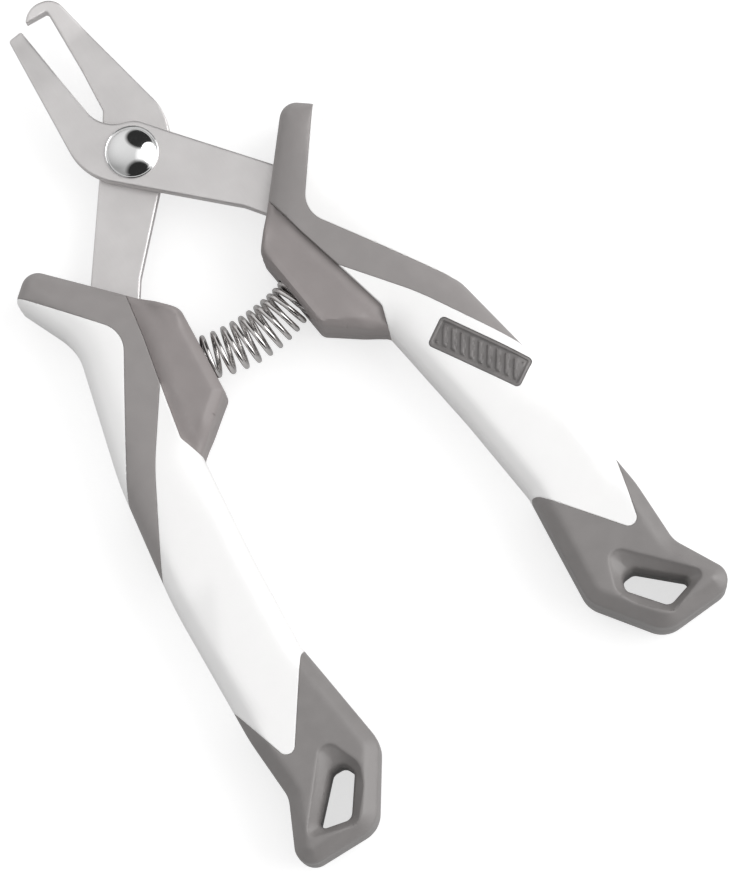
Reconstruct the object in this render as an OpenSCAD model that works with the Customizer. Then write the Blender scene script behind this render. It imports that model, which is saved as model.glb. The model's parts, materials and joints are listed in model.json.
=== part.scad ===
// Small split-ring fishing pliers: two stamped steel levers lapped on a domed rivet,
// a coil spring that holds them open, and two moulded two-tone handles.
// Millimetres.  Each piece is its own node.  The shapes are drawn in tool coordinates:
// pivot axis on Z at (0, 0), mid-plane at z = 0, jaws towards +Y, right handle on +X.
// The last step stands the open pliers on z = 0, centred on the origin.
// The left handle is the right one turned over about the Y axis.

/* [Levers] */
// Thickness of the sheet that each lever is stamped from
lever_t = 1.9; // [1.5:0.1:2.2]
// Gap between the two levers at the pivot
lever_gap = 0.12; // [0.1:0.02:0.3]
// Length of the slope that brings each jaw tip to the mid-plane
joggle_len = 7; // [4:0.5:7]

/* [Pivot] */
// Radius of the rivet's shank
shank_r = 2; // [1.5:0.1:2.5]
// Radial clearance of the levers on the shank
shank_fit = 0.05; // [0.02:0.01:0.08]
// Radius of the rivet's domed head
head_r = 3.8; // [3.2:0.1:4.4]
// Height of the dome above its rim
head_h = 1.35; // [0.8:0.05:2]
// Thickness of the washer under the upset end
washer_t = 0.5; // [0.4:0.1:0.8]

/* [Handles] */
// Thickness of a handle
handle_t = 11; // [9.5:0.5:13]
// Radius that softens the long edges of a handle
edge_r = 3; // [2:0.25:3.5]
// Thickness of the core under the grip panels
core_t = 6; // [5:0.5:7]
// Depth of the recess round the lanyard hole, on each face
recess_depth = 2.1; // [1:0.1:3]

/* [Spring] */
// Diameter of the spring wire
wire_d = 0.75; // [0.6:0.05:0.85]
// Outer diameter of the spring at its middle
spring_od = 7.1; // [5.8:0.1:7.2]
// How much narrower the spring is at its ends, as a share
end_taper = 0.12; // [0:0.01:0.2]
// How much wider the left turns are spaced than the average, as a share
pitch_bias = 0.2; // [0:0.05:0.3]
// Number of turns, with those inside the sockets
turns = 13; // [10:1:14]
// Angle between the spring's end and the line across the tool
spring_bow = 20; // [8:1:22]
// Depth of the spring socket in a handle
socket_depth = 3; // [2:0.25:3.5]

/* [Badge] */
// Length of the plain badge plate
badge_l = 14; // [8:0.5:15]
// Width of the plain badge plate
badge_w = 4.6; // [3:0.2:5]
// Thickness of the badge plate, and depth of its window
badge_t = 0.8; // [0.5:0.1:1.2]

/* [Hidden] */
SIDES = ["left", "right"];

satin_steel = [0.74, 0.73, 0.72];
bright_steel = [0.86, 0.86, 0.87];
grey_nylon = [0.55, 0.53, 0.52];
dark_nylon = [0.47, 0.45, 0.44];
inner_nylon = [0.35, 0.35, 0.36];
white_grip = [0.96, 0.96, 0.96];
badge_grey = [0.42, 0.41, 0.41];

arc_step = 12;                     // degrees between points on a rounded corner
round_fn = 64;
slack = 0.02;                      // running gap between faces of the two halves
half_t = handle_t / 2;
lever_top = lever_gap / 2 + lever_t;
shim_t = lever_gap - slack;
shank_hole_r = shank_r + shank_fit;

// Corners are [x, y, rounding radius], right handle, anticlockwise.
HANDLE = [[6.65, -22.8, 2], [7.9, -35.95, 1.4], [15.45, -41.7, 1], [17.55, -58, 60],
          [18.75, -71.3, 8], [17, -88.2, 4], [23.6, -97.6, 4], [36.3, -97.15, 2.4],
          [31.45, -87.6, 4], [31.65, -78, 30], [30.25, -57, 60], [27.1, -38.6, 50],
          [21.45, -19, 10], [25.4, -9.3, 1.6], [21.25, -5.95, 2.4]];
BLOCK = [[4, -20, 0], [4, -44, 0], [14.6, -44.5, 0], [16.6, -38.4, 1.2], [14.9, -31, 20],
         [13.1, -23.5, 15], [11.6, -15.5, 0], [9, -15.5, 0]];
SHOULDER = [[26.9, -5.9, 0], [14.9, -21.45, 4], [27.2, -41, 40], [29.7, -46.2, 0],
            [38, -46.2, 0], [38, -5.9, 0]];
PALM = [[14.6, -30.2, 0], [21.6, -39.6, 40], [30.4, -54.9, 0], [38, -54.9, 0],
        [38, -90, 0], [10, -90, 0], [10, -40, 0]];
TAIL = [[14, -71, 0], [14, -102, 0], [40, -102, 0], [40, -68.5, 0], [32.8, -68.5, 0],
        [28.4, -84.5, 1.2], [19.45, -72.5, 2], [17, -71.3, 0]];
HOLE = [[22.8, -88, 1.1], [22.1, -89.7, 1.1], [26, -94.8, 1.3], [30.6, -93.6, 0.7],
        [24.7, -87.9, 1.2]];
RECESS = [[22.7, -84.8, 1.4], [21, -89.2, 2.2], [22.1, -92, 4], [25.7, -96, 1.3],
          [32.5, -93.8, 0.9], [24.4, -84.7, 1.4]];
CORE = [[12.9, -19.7, 1], [13.7, -26, 8], [17, -40, 20], [20, -58, 40], [21, -72, 20],
        [21.2, -83.4, 1.2], [27.2, -83.4, 1.2], [28.7, -72, 20], [27.9, -58, 40],
        [25.2, -42, 20], [21.4, -28, 12], [20, -19.6, 3], [17.2, -15.9, 1]];
TANG = [[8.8, -15.3, 3], [11.6, -19.2, 3], [15, -27, 8], [18.9, -42, 20],
        [21.6, -62, 1.2], [26.1, -61.5, 1.2], [23.4, -41, 20], [19.5, -25, 8],
        [16.4, -13.9, 3]];
FLAT_JAW = [[2.85, 3.7, 3], [-1.75, 5.45, 4.8], [-2.65, 14.6, 60], [-3.35, 23.83, 0.35],
            [-5.55, 23.65, 0.5], [-6.5, 13, 60], [-7.55, 1.05, 9]];
// The hook jaw is drawn turned over, as the left handle is.
HOOK_JAW = [[2.85, 3.7, 3], [0, 7.9, 1.5], [-0.75, 15, 60], [-1.25, 24.18, 0.45],
            [2.2, 24.4, 0.15], [0.78, 26.3, 3.1], [-3.18, 25.32, 2.6],
            [-4.5, 17.9, 40], [-7.65, 1.05, 8.5]];
KEY_HOLES = [[17.8, -30], [22.6, -54]];   // holes in the tang that lock it in the core
key_hole_r = 1.3;
flat_joggle_y = 16.6;
flat_joggle_turn = 20;
hook_joggle_y = 18.6;
hook_joggle_turn = -10;

badge_at = [24.1, -51.5];
badge_turn = -59.5;

seat_x = 7.2;                     // where the spring's axis leaves the block's face
seat_y = -29.9;
arc_r = seat_x / sin(spring_bow);
arc_len = 2 * PI * arc_r * 2 * spring_bow / 360;
seat_grip = socket_depth - wire_d / 2 - 0.1;   // length of spring axis inside one socket
coil_r = (spring_od - wire_d) / 2;
end_r = coil_r * (1 - end_taper);
socket_r = end_r + wire_d / 2 + 0.4;
peg_r = end_r - wire_d / 2 - 0.25;
peg_len = socket_depth - 0.6;
stub_r = 1.2;
stub_len = 1.4;

function xy(p) = [p[0], p[1]];
function unit(v) = v / norm(v);

// Points of one rounded corner, between the corners before and after it.
function corner(before, at, after) = at[2] == 0 ? [xy(at)] :
    let (u = unit(xy(before) - xy(at)), w = unit(xy(after) - xy(at)), half = acos(u * w) / 2,
         centre = xy(at) + unit(u + w) * at[2] / sin(half),
         first = xy(at) + u * at[2] / tan(half) - centre,
         turn = (180 - 2 * half) * sign(w[0] * u[1] - w[1] * u[0]) * -1,
         n = max(2, ceil(abs(turn) / arc_step)))
    [for (i = [0 : n]) let (a = -turn * i / n)
        centre + [first[0] * cos(a) - first[1] * sin(a), first[0] * sin(a) + first[1] * cos(a)]];

function outline(c) = let (n = len(c))
    [for (i = [0 : n - 1]) each corner(c[(i + n - 1) % n], c[i], c[(i + 1) % n])];

// The same corners moved inwards by d, for an anticlockwise outline.
function inset(c, d) = let (n = len(c))
    [for (i = [0 : n - 1])
        let (a = unit(xy(c[i]) - xy(c[(i + n - 1) % n])), b = unit(xy(c[(i + 1) % n]) - xy(c[i])),
             na = [-a[1], a[0]], nb = [-b[1], b[0]], move = (na + nb) * d / (1 + na * nb),
             outward = a[0] * b[1] - a[1] * b[0] > 0)
        [c[i][0] + move[0], c[i][1] + move[1], outward ? max(c[i][2] - d, 0.2) : c[i][2] + d]];

jaw_end_y = max([for (p = outline(concat(HOOK_JAW, TANG))) p[1]]);
tail_end_y = min([for (p = outline(HANDLE)) p[1]]);
mid_y = (jaw_end_y + tail_end_y) / 2;

// From tool coordinates to the standing part.
module standing() { translate([0, -mid_y, half_t]) children(); }

// The side that is being drawn: the left one is turned over about Y.
module on_side(side) { standing() rotate([0, side == "left" ? 180 : 0, 0]) children(); }

module plate(c, low, high) {
    translate([0, 0, low]) linear_extrude(height = high - low) polygon(outline(c));
}

// ---- levers ------------------------------------------------------------------------

// Side band of a lever: flat at the pivot, and stepped to the mid-plane at the tip.
module lever_band(start_y, turn) {
    low = lever_gap / 2;
    drop = low + lever_t / 2;
    side = [[-60, low], [start_y, low], [start_y + joggle_len, low - drop], [40, low - drop],
            [40, low - drop + lever_t], [start_y + joggle_len, low - drop + lever_t],
            [start_y, low + lever_t], [-60, low + lever_t]];
    translate([0, start_y, 0]) rotate([0, 0, turn]) translate([-60, -start_y, 0])
        rotate([90, 0, 90]) linear_extrude(height = 120) polygon(side);
}

module lever(jaw, start_y, turn) {
    difference() {
        union() {
            // the jaw, with its joggle
            intersection() {
                plate(concat(jaw, TANG), -4, 4);
                translate([-30, 8, -5]) cube([60, 30, 10]);
                lever_band(start_y, turn);
            }
            // the boss and the tang, flat
            intersection() {
                plate(concat(jaw, TANG), lever_gap / 2, lever_top);
                translate([-60, -92, -5]) cube([120, 100, 10]);
            }
        }
        translate([0, 0, -5]) cylinder(r = shank_hole_r, h = 10, $fn = round_fn);
        for (p = KEY_HOLES) translate([p[0], p[1], -5])
            cylinder(r = key_hole_r, h = 10, $fn = round_fn);
    }
}

module flat_jaw_lever() {
    color(satin_steel) on_side("right") lever(FLAT_JAW, flat_joggle_y, flat_joggle_turn);
}

module hook_jaw_lever() {
    color(satin_steel) on_side("left") lever(HOOK_JAW, hook_joggle_y, hook_joggle_turn);
}

// ---- pivot -------------------------------------------------------------------------

module pivot_rivet() {
    rim_t = 0.3;
    rim_in = 0.35;
    face = lever_top + slack;
    back = -lever_top - washer_t;
    dome_r = head_r - rim_in;
    ball_r = (dome_r * dome_r + head_h * head_h) / (2 * head_h);
    sweep = asin(dome_r / ball_r);
    dome = [for (i = [0 : 8]) let (a = sweep * (1 - i / 8))
        [ball_r * sin(a), face + rim_t + head_h - ball_r + ball_r * cos(a)]];
    upset_r = 2.9;
    color(bright_steel) standing() rotate_extrude($fn = round_fn)
        polygon(concat([[0, back - 0.8], [1.8, back - 0.75], [2.5, back - 0.5], [upset_r, back],
                        [shank_r, back], [shank_r, face], [head_r, face],
                        [head_r, face + rim_t]], dome));
}

module rivet_washer() {
    color(satin_steel) standing() translate([0, 0, -lever_top - washer_t]) difference() {
        cylinder(r = 4, h = washer_t, $fn = round_fn);
        translate([0, 0, -1]) cylinder(r = shank_r, h = washer_t + 2, $fn = round_fn);
    }
}

module pivot_shim() {
    color(bright_steel) standing() translate([0, 0, -lever_gap / 2]) difference() {
        cylinder(r = 4.6, h = shim_t, $fn = round_fn);
        translate([0, 0, -1]) cylinder(r = shank_hole_r, h = shim_t + 2, $fn = round_fn);
    }
}

// ---- handles -----------------------------------------------------------------------

// Whole handle: three layers that follow the rounding of its long edges.
module handle_solid() {
    for (in_by = [0, 0.3 * edge_r, 0.8 * edge_r]) {
        high = half_t - edge_r + sqrt(edge_r * edge_r - pow(edge_r - in_by - 0.1 * edge_r, 2));
        plate(inset(HANDLE, in_by), in_by == 0.8 * edge_r ? -half_t : -high,
              in_by == 0.8 * edge_r ? half_t : high);
    }
}

module region(c) { plate(c, -handle_t, handle_t); }
module core_space() { plate(CORE, -core_t / 2, core_t / 2); }
module tang_space() { plate(concat(FLAT_JAW, TANG), lever_gap / 2, lever_top); }

// The spring's axis at its right end, from the block's face inwards.
module at_socket() {
    translate([seat_x, seat_y, 0]) rotate([0, 0, spring_bow]) rotate([0, 90, 0]) children();
}

module core(side) {
    color(inner_nylon) on_side(side) {
        difference() {
            core_space();
            tang_space();
        }
        for (p = KEY_HOLES) translate([p[0], p[1], lever_gap / 2])
            cylinder(r = key_hole_r, h = lever_t, $fn = round_fn);
    }
}

module guard(side) {
    color(grey_nylon) on_side(side) difference() {
        handle_solid();
        region(BLOCK);
        region(SHOULDER);
        region(PALM);
        region(TAIL);
        core_space();
        tang_space();
    }
}

module spring_block(side) {
    color(grey_nylon) on_side(side) difference() {
        intersection() {
            handle_solid();
            region(BLOCK);
        }
        core_space();
        tang_space();
        at_socket() translate([0, 0, -2]) cylinder(r = socket_r, h = socket_depth + 2, $fn = round_fn);
        at_socket() cylinder(r = stub_r, h = socket_depth + stub_len, $fn = round_fn);
    }
}

module spring_peg(side) {
    color(bright_steel) on_side(side) at_socket() {
        translate([0, 0, socket_depth - peg_len]) cylinder(r = peg_r, h = peg_len, $fn = round_fn);
        translate([0, 0, socket_depth]) cylinder(r = stub_r, h = stub_len, $fn = round_fn);
    }
}

module shoulder_panel(side) {
    color(white_grip) on_side(side) difference() {
        intersection() {
            handle_solid();
            region(SHOULDER);
        }
        core_space();
    }
}

module badge_plate() {
    corner_r = 0.9;
    x = badge_l / 2;
    y = badge_w / 2;
    translate([badge_at[0], badge_at[1], half_t - badge_t]) rotate([0, 0, badge_turn])
        linear_extrude(height = badge_t)
        polygon(outline([[-x, -y, corner_r], [x, -y, corner_r], [x, y, corner_r], [-x, y, corner_r]]));
}

module palm_panel(side) {
    color(white_grip) on_side(side) difference() {
        intersection() {
            handle_solid();
            region(PALM);
        }
        region(BLOCK);
        region(TAIL);
        core_space();
        badge_plate();
    }
}

module badge(side) { color(badge_grey) on_side(side) badge_plate(); }

module lanyard_loop(side) {
    color(dark_nylon) on_side(side) difference() {
        intersection() {
            handle_solid();
            region(TAIL);
        }
        core_space();
        region(HOLE);
        plate(RECESS, half_t - recess_depth, handle_t);
        plate(RECESS, -handle_t, recess_depth - half_t);
    }
}

// ---- return spring -----------------------------------------------------------------

wire_sides = 8;
steps_per_turn = 16;
spring_len = arc_len + 2 * seat_grip;

// Direction of the spring's axis, in degrees from +X, at a distance from its middle.
function axis_angle(s) = min(max(s / arc_len * 2, -1), 1) * spring_bow;

// Point on the spring's axis at a distance from its middle.
function axis_point(s) = let (a = axis_angle(s), over = abs(s) > arc_len / 2 ? abs(s) - arc_len / 2 : 0)
    [arc_r * sin(a), seat_y + arc_r * (cos(spring_bow) - cos(a))] + sign(s) * over * [cos(a), sin(a)];

// One ring of points round the wire.
function wire_ring(i) =
    let (u = i / (turns * steps_per_turn), s = spring_len * (u + pitch_bias * u * (1 - u) - 0.5),
         a = axis_angle(s), r = coil_r * (1 - end_taper * pow(min(abs(s) / arc_len * 2, 1), 2)),
         along = [cos(a), sin(a), 0], across = [-sin(a), cos(a), 0], up = [0, 0, 1],
         t = 360 * i / steps_per_turn, middle = axis_point(s),
         radial = across * cos(t) + up * sin(t), round_dir = up * cos(t) - across * sin(t),
         rise = spring_len * (1 + pitch_bias * (1 - 2 * u)) / turns / (2 * PI * r),
         wire_dir = unit(round_dir + rise * along), side = cross(wire_dir, radial))
    [for (k = [0 : wire_sides - 1]) let (b = 360 * k / wire_sides)
        [middle[0], middle[1], 0] + radial * r
        + (radial * cos(b) + side * sin(b)) * wire_d / 2];

module return_spring() {
    rings = turns * steps_per_turn;
    points = [for (i = [0 : rings]) each wire_ring(i)];
    walls = [for (i = [0 : rings - 1], k = [0 : wire_sides - 1])
        let (a = i * wire_sides + k, b = i * wire_sides + (k + 1) % wire_sides)
        [a, a + wire_sides, b + wire_sides, b]];
    start = [for (k = [0 : wire_sides - 1]) k];
    end = [for (k = [wire_sides - 1 : -1 : 0]) rings * wire_sides + k];
    color(bright_steel) standing() polyhedron(points, concat(walls, [start, end]));
}

// ------------------------------------------------------------------------------------

hook_jaw_lever();
flat_jaw_lever();
pivot_rivet();
rivet_washer();
pivot_shim();
return_spring();
for (side = SIDES) {
    core(side);
    guard(side);
    spring_block(side);
    shoulder_panel(side);
    palm_panel(side);
    lanyard_loop(side);
    badge(side);
    spring_peg(side);
}
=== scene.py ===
import json
import math
import bpy
import numpy as np
from mathutils import Matrix, Vector
from mathutils.geometry import delaunay_2d_cdt


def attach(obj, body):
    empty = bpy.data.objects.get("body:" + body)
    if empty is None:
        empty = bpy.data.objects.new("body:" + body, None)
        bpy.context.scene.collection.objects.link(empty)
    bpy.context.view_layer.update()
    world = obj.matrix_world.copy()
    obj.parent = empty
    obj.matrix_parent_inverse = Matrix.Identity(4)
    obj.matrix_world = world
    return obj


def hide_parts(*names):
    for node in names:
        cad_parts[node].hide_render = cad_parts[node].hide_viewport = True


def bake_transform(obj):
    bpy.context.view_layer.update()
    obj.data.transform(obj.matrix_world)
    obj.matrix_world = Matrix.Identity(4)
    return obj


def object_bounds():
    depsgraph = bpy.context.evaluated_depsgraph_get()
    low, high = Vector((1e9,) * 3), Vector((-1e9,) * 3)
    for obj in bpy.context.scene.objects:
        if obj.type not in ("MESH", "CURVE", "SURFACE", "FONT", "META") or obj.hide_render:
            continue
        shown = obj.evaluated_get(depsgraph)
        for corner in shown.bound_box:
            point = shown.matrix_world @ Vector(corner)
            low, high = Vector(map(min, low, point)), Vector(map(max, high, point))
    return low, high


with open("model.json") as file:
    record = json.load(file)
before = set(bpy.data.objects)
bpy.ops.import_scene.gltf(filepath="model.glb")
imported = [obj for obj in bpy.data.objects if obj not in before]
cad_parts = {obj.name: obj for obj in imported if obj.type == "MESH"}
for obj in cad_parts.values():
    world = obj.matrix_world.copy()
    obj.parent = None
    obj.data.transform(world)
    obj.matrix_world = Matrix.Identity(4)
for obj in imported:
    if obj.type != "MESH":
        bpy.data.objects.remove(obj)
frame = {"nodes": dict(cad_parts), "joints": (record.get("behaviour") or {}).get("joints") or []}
cad_low, cad_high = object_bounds()

# ---- sizes, in millimetres in tool coordinates: pivot axis at (0, 0), mid-plane at z 0 -----

PIVOT = Vector(frame["joints"][0]["pos_m"])
MM = 0.001
HALF_T = (cad_high.z - cad_low.z) / 2 / MM
LEVER_T = 1.9
LEVER_GAP = 0.12
LEVER_TOP = LEVER_GAP / 2 + LEVER_T
SHANK_R = 2.0
SHANK_HOLE_R = 2.05
RIVET_R = 3.8
DOME_R = 3.45
DOME_H = 1.35
WASHER_R = 4.0
WASHER_T = 0.5
WIRE_D = 0.75
COIL_R = 3.175
END_TAPER = 0.12             # the coil is this share narrower at its ends
PITCH_BIAS = 0.3             # the left turns are spaced this share wider
TURNS = 13
SPRING_BOW = math.radians(20)
SEAT_X = 7.2
SEAT_Y = -29.9
SOCKET_R = 3.32
SOCKET_DEPTH = 3.0
PEG_R = 2.16
BADGE_L = 14.0
BADGE_W = 4.6
BADGE_T = 0.8
BADGE_AT = np.array([24.1, -51.5])
BADGE_TURN = math.radians(-59.5)

# Corners are (x, y, rounding radius), right handle, anticlockwise.
HANDLE = [(6.65, -22.8, 2), (7.9, -35.95, 1.4), (15.45, -41.7, 1), (17.55, -58, 60),
          (18.75, -71.3, 8), (17, -88.2, 4), (23.6, -97.6, 4), (36.3, -97.15, 2.4),
          (31.45, -87.6, 4), (31.65, -78, 30), (30.25, -57, 60), (27.1, -38.6, 50),
          (21.45, -19, 10), (25.4, -9.3, 1.6), (21.25, -5.95, 2.4)]
BLOCK = [(4, -20, 0), (4, -44, 0), (14.6, -44.5, 0), (16.6, -38.4, 1.2), (14.9, -31, 20),
         (13.1, -23.5, 15), (11.6, -15.5, 0), (9, -15.5, 0)]
SHOULDER = [(26.9, -5.9, 0), (14.9, -21.45, 4), (27.2, -41, 40), (29.7, -46.2, 0),
            (38, -46.2, 0), (38, -5.9, 0)]
PALM = [(14.6, -30.2, 0), (21.6, -39.6, 40), (30.4, -54.9, 0), (38, -54.9, 0),
        (38, -90, 0), (10, -90, 0), (10, -40, 0)]
TAIL = [(14, -71, 0), (14, -102, 0), (40, -102, 0), (40, -68.5, 0), (32.8, -68.5, 0),
        (28.4, -84.5, 1.2), (19.45, -72.5, 2), (17, -71.3, 0)]
HOLE = [(22.8, -88, 1.1), (22.1, -89.7, 1.1), (26, -94.8, 1.3), (30.6, -93.6, 0.7),
        (24.7, -87.9, 1.2)]
RECESS = [(22.7, -84.8, 1.4), (21, -89.2, 2.2), (22.1, -92, 4), (25.7, -96, 1.3),
          (32.5, -93.8, 0.9), (24.4, -84.7, 1.4)]
TANG = [(8.8, -15.3, 3), (11.6, -19.2, 3), (15, -27, 8), (18.9, -42, 20),
        (21.6, -62, 1.2), (26.1, -61.5, 1.2), (23.4, -41, 20), (19.5, -25, 8),
        (16.4, -13.9, 3)]
FLAT_JAW = [(2.85, 3.7, 3), (-1.75, 5.45, 4.8), (-2.65, 14.6, 60), (-3.35, 23.83, 0.35),
            (-5.55, 23.65, 0.5), (-6.5, 13, 60), (-7.55, 1.05, 9)]
HOOK_JAW = [(2.85, 3.7, 3), (0, 7.9, 1.5), (-0.75, 15, 60), (-1.25, 24.18, 0.45),
            (2.2, 24.4, 0.15), (0.78, 26.3, 3.1), (-3.18, 25.32, 2.6),
            (-4.5, 17.9, 40), (-7.65, 1.05, 8.5)]
KEY_HOLES = [(17.8, -30), (22.6, -54)]
KEY_HOLE_R = 1.3

# ---- camera: 600 mm from the pivot, leaning towards the foot of the picture ---------------

VIEW_DISTANCE = 600.0
VIEW_LENS = 174.53
VIEW_SENSOR = 36
VIEW_CLIP = (0.01, 20)              # in metres
TOOL_TURN = math.radians(33.63)      # the tool's axis leans this far anticlockwise in the view
LEAN_DOWN = math.radians(10.0)
LEAN_RIGHT = math.radians(3.0)
PIVOT_IN_VIEW = Vector((-32.58, 40.11, -VIEW_DISTANCE))   # from the camera, right, up and back


def make_camera():
    back = Vector((math.sin(LEAN_RIGHT), -math.sin(LEAN_DOWN), 0))
    back.z = math.sqrt(1 - back.length_squared)
    right = Vector((0, 1, 0)).cross(back).normalized()
    up = back.cross(right)
    turn = Matrix.Rotation(-TOOL_TURN, 3, "Z")
    axes = [turn @ v for v in (right, up, back)]
    place = -sum((a * v for a, v in zip(axes, PIVOT_IN_VIEW)), Vector())
    data = bpy.data.cameras.new("camera")
    data.lens = VIEW_LENS
    data.sensor_width = VIEW_SENSOR
    data.clip_start, data.clip_end = VIEW_CLIP
    camera = bpy.data.objects.new("camera", data)
    rotation = Matrix(axes).transposed().to_4x4()
    camera.matrix_world = Matrix.Translation(PIVOT + place * MM) @ rotation
    bpy.context.scene.collection.objects.link(camera)
    bpy.context.scene.camera = camera
    return axes


VIEW_RIGHT, VIEW_UP, VIEW_BACK = make_camera()


def in_view(right, up, back):
    """A direction given in the view: right, up, and towards the camera."""
    return (VIEW_RIGHT * right + VIEW_UP * up + VIEW_BACK * back).normalized()


# ---- outlines -----------------------------------------------------------------------------

ARC_STEP = math.radians(6)
SPACING = 0.5
EDGE_RINGS = (0.08, 0.2, 0.38, 0.6, 0.9, 1.25, 1.6, 2.0, 2.5, 3.1, 3.8)
SEAM_RINGS = (0.05, 0.12, 0.22, 0.45)
STILL_NEAREST = 0.97        # share of its inset that a point keeps from its ring
ROW_SHARE = 0.866           # the rows of a hexagonal grid, against its pitch
MERGE = 1e-4                # points closer than this become one
LEAST_AREA = 1e-9           # twice the area of the smallest triangle that is kept


def unit(v):
    return v / np.linalg.norm(v)


def corner_points(before, at, after):
    """Points of one rounded corner, between the corners before and after it."""
    place, radius = np.array(at[:2], float), at[2]
    if radius == 0:
        return [place]
    u = unit(np.array(before[:2]) - place)
    w = unit(np.array(after[:2]) - place)
    half = math.acos(u @ w) / 2
    centre = place + unit(u + w) * radius / math.sin(half)
    first = place + u * radius / math.tan(half) - centre
    turn = (math.pi - 2 * half) * np.sign(w[0] * u[1] - w[1] * u[0])
    count = max(2, math.ceil(abs(turn) / ARC_STEP), math.ceil(abs(turn) * radius / SPACING))
    return [centre + turned(first, turn * i / count) for i in range(count + 1)]


def turned(v, angle):
    c, s = math.cos(angle), math.sin(angle)
    return np.array([v[0] * c - v[1] * s, v[0] * s + v[1] * c])


def outline(corners, spacing=SPACING):
    """Closed ring of points, no further apart than the spacing."""
    count = len(corners)
    ring = [p for i in range(count)
            for p in corner_points(corners[i - 1], corners[i], corners[(i + 1) % count])]
    points = []
    for a, b in zip(ring, ring[1:] + ring[:1]):
        parts = max(1, math.ceil(np.linalg.norm(b - a) / spacing))
        points += [a + (b - a) * k / parts for k in range(parts)]
    return np.array(points)


def circle(x, y, radius, count=48):
    angles = np.arange(count) * 2 * math.pi / count
    return np.stack([x + radius * np.cos(angles), y + radius * np.sin(angles)], 1)


def segments(ring):
    return ring, np.roll(ring, -1, 0)


def distance(points, starts, ends):
    """Distance of each point from the nearest of the segments."""
    along = ends - starts
    length2 = np.maximum((along ** 2).sum(1), 1e-12)
    best = np.empty(len(points))
    for part in np.array_split(np.arange(len(points)), len(points) // 2000 + 1):
        away = points[part][:, None] - starts[None]
        share = np.clip((away * along).sum(2) / length2, 0, 1)
        best[part] = np.sqrt(((away - along * share[..., None]) ** 2).sum(2)).min(1)
    return best


def from_ring(points, ring):
    """Distance of each point from a closed ring."""
    return distance(points, *segments(ring))


def inside(points, ring):
    """True for the points inside a closed ring."""
    starts, ends = segments(ring)
    y = points[:, 1][:, None]
    crosses = (starts[:, 1] > y) != (ends[:, 1] > y)
    rise = np.where(ends[:, 1] == starts[:, 1], 1.0, ends[:, 1] - starts[:, 1])
    x = starts[:, 0] + (y - starts[:, 1]) / rise * (ends[:, 0] - starts[:, 0])
    return (crosses & (points[:, 0][:, None] < x)).sum(1) % 2 == 1


def beside(ring, insets):
    """Points at the insets inside a ring, kept where no other stretch of it is nearer."""
    along = np.roll(ring, -1, 0) - np.roll(ring, 1, 0)
    inward = np.stack([-along[:, 1], along[:, 0]], 1) / np.linalg.norm(along, axis=1)[:, None]
    kept = []
    for inset in insets:
        points = ring + inward * inset
        near = from_ring(points, ring) > abs(inset) * STILL_NEAREST
        kept.append(points[near])
    return np.concatenate(kept)


def hex_grid(low, high, pitch):
    rows = np.arange(low[1], high[1], pitch * ROW_SHARE)
    points = [(x + (k % 2) * pitch / 2, y) for k, y in enumerate(rows)
              for x in np.arange(low[0], high[0], pitch)]
    return np.array(points)


def triangulate(rings, loose):
    """Points and anticlockwise triangles that keep the edges of the rings."""
    edges = []
    count = 0
    for ring in rings:
        edges += [(count + i, count + (i + 1) % len(ring)) for i in range(len(ring))]
        count += len(ring)
    points = np.concatenate(list(rings) + [loose])
    found = delaunay_2d_cdt([Vector(p) for p in points], edges, [], 0, MERGE)
    places = np.array([tuple(p) for p in found[0]])
    faces = np.array([f for f in found[2] if len(f) == 3])
    a, b, c = (places[faces[:, k]] for k in range(3))
    area = (b[:, 0] - a[:, 0]) * (c[:, 1] - a[:, 1]) - (b[:, 1] - a[:, 1]) * (c[:, 0] - a[:, 0])
    faces[area < 0] = faces[area < 0][:, ::-1]
    return places, faces[abs(area) > LEAST_AREA]


def smooth(low, high, value):
    share = np.clip((value - low) / (high - low), 0, 1)
    return share * share * (3 - 2 * share)


def round_drop(d, width, depth):
    """Drop of a surface near its edge that rounds down to the wall as a quarter ellipse."""
    share = np.clip((width - d) / width, 0, 1)
    return depth * (1 - np.sqrt(1 - share * share))


def chamfer_drop(d, width, depth, knee):
    """Drop of a surface near its edge that slopes down, with a soft knee at its top."""
    share = (width - d) / width
    return depth * (share + np.sqrt(share * share + knee * knee)) / 2


# ---- meshes -------------------------------------------------------------------------------

CREASE = 38                 # degrees between faces from which an edge is sharp
RIDGE_HALF = 0.07           # half height of a moulding line, as a share of half the wall


def to_row(points, side="right"):
    """Tool coordinates in mm to the row frame in metres; the left side is turned about Y."""
    flip = np.array([-1, 1, -1]) if side == "left" else np.array([1, 1, 1])
    return np.asarray(points) * flip * MM + np.array(PIVOT)


def finish_piece(name, points, faces, side, body, nodes, material, crease=CREASE):
    """The piece that replaces the CAD nodes, made of points in tool coordinates and faces."""
    mesh = bpy.data.meshes.new(name)
    mesh.from_pydata(to_row(points, side).tolist(), [], [list(map(int, f)) for f in faces])
    mesh.validate()
    mesh.shade_smooth()
    mesh.set_sharp_from_angle(angle=math.radians(crease))
    mesh.materials.append(material)
    piece = bpy.data.objects.new(name, mesh)
    bpy.context.scene.collection.objects.link(piece)
    if body:
        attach(piece, body)
    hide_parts(*nodes)
    return piece


def border(faces):
    """Directed edges that only one triangle has."""
    edges = np.concatenate([faces[:, [0, 1]], faces[:, [1, 2]], faces[:, [2, 0]]])
    known = {(a, b) for a, b in edges.tolist()}
    return [(a, b) for a, b in edges.tolist() if (b, a) not in known]


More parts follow.
